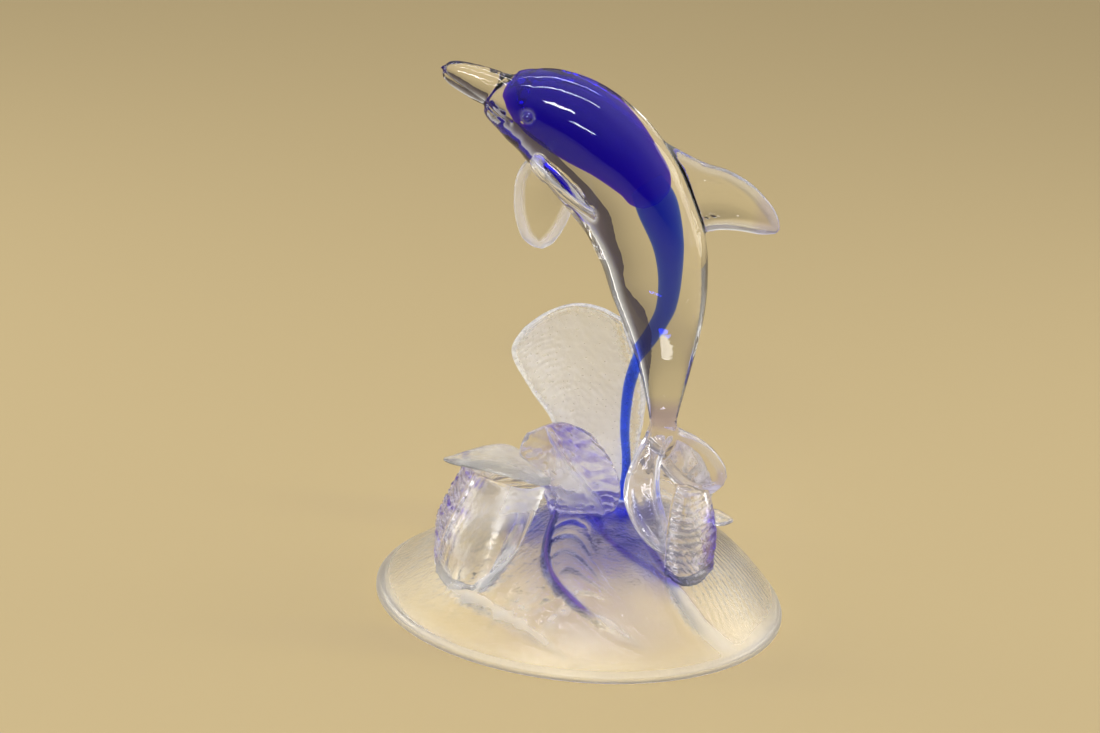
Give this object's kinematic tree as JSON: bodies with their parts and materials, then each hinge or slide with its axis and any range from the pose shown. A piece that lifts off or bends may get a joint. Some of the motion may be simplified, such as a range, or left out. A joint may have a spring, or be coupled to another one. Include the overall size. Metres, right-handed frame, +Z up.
{
  "type": "crystal glass figurine",
  "caption": "Leaping dolphin figurine in clear crystal glass with a cobalt-blue glass core, rising from frosted glass waves on a round hollow foot.",
  "frame": {"origin": "centre of the round foot on the surface it stands on", "axes": "+Z up; -Y is the front, the side that shows the dolphin's left flank; +X is the side that the dolphin's back and dorsal fin face"},
  "size_m": [0.15, 0.15, 0.199],
  "materials": {
    "clear_glass": "polished",
    "frosted_glass": "matte",
    "cobalt_glass": "polished"
  },
  "bodies": {
    "root": {"foot_rim": "frosted_glass", "foot_dome": "clear_glass", "dolphin_body": "clear_glass", "cobalt_core": "cobalt_glass", "cobalt_thread": "cobalt_glass", "cobalt_pool": "cobalt_glass", "dorsal_fin": "clear_glass", "left_flipper": "clear_glass", "right_flipper": "clear_glass", "left_fluke": "clear_glass", "right_fluke": "clear_glass", "left_eye": "clear_glass", "right_eye": "clear_glass", "tall_wave": "frosted_glass", "curl_wave": "frosted_glass", "left_wall_wave": "frosted_glass", "left_shelf_wave": "frosted_glass", "front_rib_wave": "frosted_glass", "right_rib_wave": "frosted_glass", "spray_tip": "frosted_glass", "back_left_wave": "frosted_glass", "back_right_wave": "frosted_glass", "left_ridge": "frosted_glass", "right_ridge": "frosted_glass"}
  },
  "joints": []
}
